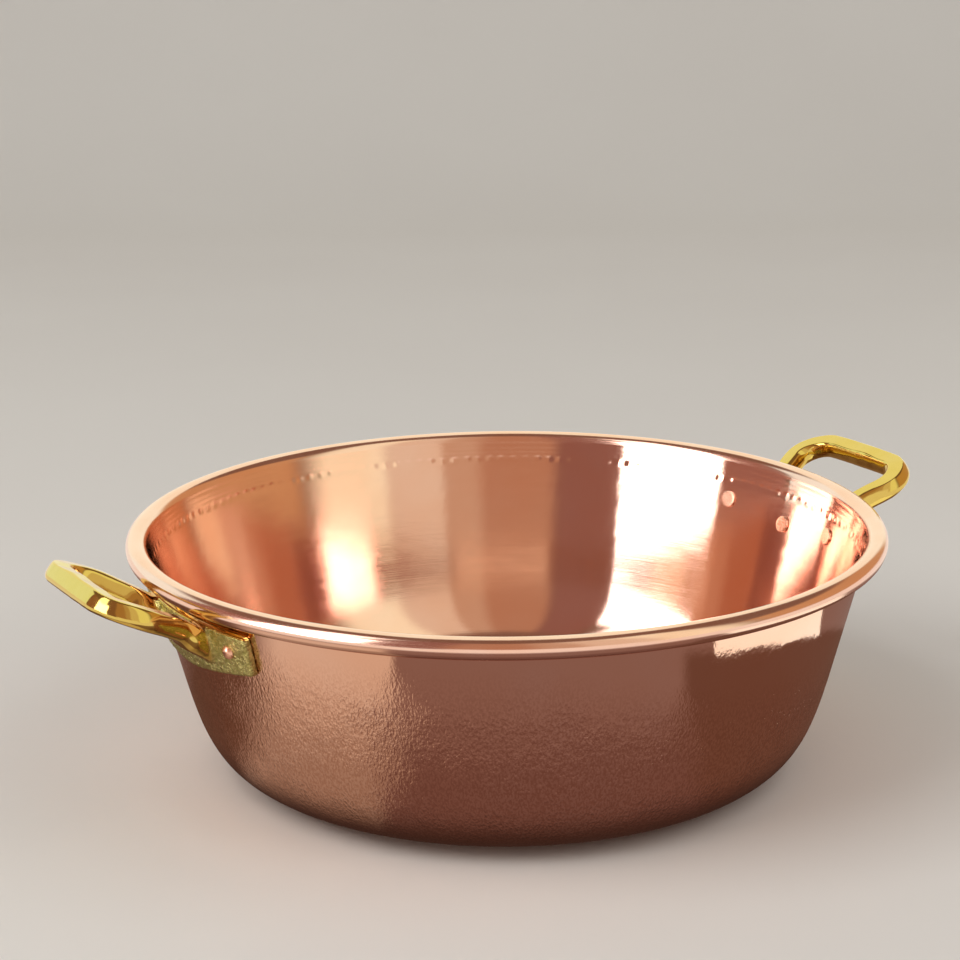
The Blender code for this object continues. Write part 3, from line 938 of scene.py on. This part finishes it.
def add_flat_card(name, material, turns, reach, lift, colours):
    """A card that lies on the table, over a grid of azimuths and distances from the pan's axis."""
    turn = np.radians(turns)
    add_card(name, material, reach * np.cos(turn), reach * np.sin(turn), lift + 0 * reach * turn, colours)


# Colours of the light that the metal reflects
WHITE = (5.0, 5.0, 4.8)
SOFT_WHITE = (2.4, 2.4, 2.3)
CREAM = (1.02, 1.00, 0.74)
PALE = (0.78, 0.66, 0.50)
TAN = (0.58, 0.40, 0.27)
ORANGE = (0.60, 0.35, 0.17)
BROWN = (0.47, 0.26, 0.16)
DIM = (0.28, 0.14, 0.11)
LEFT_DARK = (0.33, 0.16, 0.12)
LEFT_BEHIND = (1.00, 1.15, 1.05)
WALL_BEHIND = (1.05, 1.08, 0.86)
ROOM_DARK = (0.22, 0.13, 0.09)
TABLE_FAR = (0.95, 0.88, 0.78)
WHITE_CARD = (1.2, 1.15, 0.98)

# The room and the table all round, and the white card on the table: degrees and metres
ALL_ROUND = (-200, 160)
ROOM_RISE = (-20, 90)
ROOM_REACH = 8.0
TABLE_START = 0.02
TABLE_DETAILED_TO = 0.6
TABLE_END = 8.9
TABLE_LIFT = 0.0003
WHITE_CARD_ROUND = (-39.5, 5)
WHITE_CARD_REACH = (0.283, 0.44)
WHITE_CARD_LIFT = 0.0012

# Panels of the room: azimuths, softness of both edges, elevations, softness and colour, in degrees
ROOM = (
    ((-10, 60), (8, 1), (-12, 28), 6, ORANGE),
    ((-46, -26), (6, 14), (-12, 60), 6, CREAM),
    ((-68, -50), (1, 6), (-12, 60), 6, PALE),
    ((-82, -68), (6, 0.5), (-12, 60), 6, TAN),
    ((-106, -84), (6, 6), (-12, 60), 6, BROWN),
    ((-128, -54), (4, 4), (-12, 4), 5, TABLE_FAR),
    ((-132, -112), (0.5, 8), (-12, 62), 6, DIM),
    ((-169, -142), (1, 3), (38, 58), 6, SOFT_WHITE),
    ((-169, -132), (1, 0.5), (-12, 36), 5, WHITE),
    ((-197, -170), (1, 1), (-12, 35), 6, LEFT_DARK),
    ((122, 160), (10, 1), (-12, 30), 6, LEFT_BEHIND),
    ((62, 122), (6, 10), (-12, 72), 6, WALL_BEHIND),
)

# Panels of the table: the same, with distances from the pan's axis in place of elevations. The table darkens in
# steps towards the pan's foot: a painted shadow of the pan.
TABLE = (
    # Near the pan the table is darker than its bright ground colour far off, which is a painted sheen of the
    # table.
    (ALL_ROUND, (1, 1), (0, 0.36), 0.14, (0.25, 0.155, 0.125)),
    # painted shadow of the pan on the table, its softer outer ring
    (ALL_ROUND, (1, 1), (0, 0.21), 0.05, (0.17, 0.09, 0.07)),
    ((-200, -158), (1, 6), (0, 0.34), 0.1, (0.13, 0.065, 0.04)),
    # painted sheen of the table, a bright patch at the front left
    ((-146, -117), (14, 2), (0, 0.35), 0.05, (0.68, 0.54, 0.41)),
    ((-146, -117), (14, 2), (0, 0.21), 0.06, (0.36, 0.25, 0.18)),
    ((-46, 40), (4, 4), (0, 0.283), 0.01, (0.15, 0.075, 0.05)),
    # painted shadow of the pan on the table, darkest round its foot
    (ALL_ROUND, (1, 1), (0, 0.145), 0.04, (0.05, 0.025, 0.018)),
)


def add_studio():
    """A room and a table that only the metal reflects, in place of the photograph's."""
    material = glow()
    turns = np.linspace(*ALL_ROUND, 481)[:, None]
    rises = np.linspace(*ROOM_RISE, 56)[None]
    turn, rise = np.radians(turns), np.radians(rises)
    flat = ROOM_REACH * np.cos(rise)
    up = PAN_HEIGHT + ROOM_REACH * np.sin(rise) + 0 * turn
    colours = painted(turns, rises, ROOM_DARK, ROOM)
    add_card("room", material, flat * np.cos(turn), flat * np.sin(turn), up, colours)
    detailed = np.linspace(TABLE_START, TABLE_DETAILED_TO, 117)
    reach = np.concatenate([detailed, np.linspace(TABLE_DETAILED_TO, TABLE_END, 8)[1:]])[None]
    add_flat_card("table", material, turns, reach, TABLE_LIFT, painted(turns, reach, TABLE_FAR, TABLE))
    turns = np.linspace(*WHITE_CARD_ROUND, 32)[:, None]
    reach = np.array([WHITE_CARD_REACH])
    white = np.zeros((len(turns), 2, 3)) + WHITE_CARD
    add_flat_card("white_card", material, turns, reach, WHITE_CARD_LIFT, white)


WORLD_COLOUR = (0.95, 0.92, 0.88, 1)
WORLD_STRENGTH = 0.45


def add_soft_lights():
    """Two large soft lights, which the metal doesn't mirror."""
    for name, place, size, power in (
        ("key", (-1.4, -1.0, 1.9), 1.6, 26),
        ("fill", (1.6, -0.6, 1.7), 1.8, 12),
    ):
        light = bpy.data.lights.new(name, "AREA")
        light.shape = "SQUARE"
        light.size = size
        light.energy = power
        lamp = bpy.data.objects.new(name, light)
        bpy.context.scene.collection.objects.link(lamp)
        spot = Matrix.Rotation(-CAMERA_TURN, 4, "Z") @ Vector(place)
        lamp.location = spot
        lamp.rotation_mode = "QUATERNION"
        lamp.rotation_quaternion = (-spot).to_track_quat("-Z", "Y")
        lamp.visible_glossy = False
    world = bpy.data.worlds.new("studio")
    world.use_nodes = True
    background = world.node_tree.nodes["Background"]
    background.inputs["Color"].default_value = WORLD_COLOUR
    background.inputs["Strength"].default_value = WORLD_STRENGTH
    bpy.context.scene.world = world
    bpy.context.scene.view_settings.view_transform = "Standard"


def main():
    zones = [copper_outside(), copper_rim(), copper_inside()]
    mesh = pan_mesh(zones)
    add_piece("copper_pan", mesh, [], "copper", "pan_body")
    brass = cast_brass()
    rivets = rivet_copper()
    cast = cast_shape()
    for number, (side, direction) in enumerate(HANDLES):
        brass_handle(side, direction, cast, brass, 60 + 10 * number)
        for k, (place, matrix) in enumerate(rivet_matrices(direction)):
            rivet(side, place, matrix, rivets, 80 + 10 * number + k)
    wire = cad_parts["rim_wire"]
    wire.data.materials.clear()
    wire.data.materials.append(wire_steel())
    add_camera()
    add_sweep()
    add_studio()
    add_soft_lights()


main()
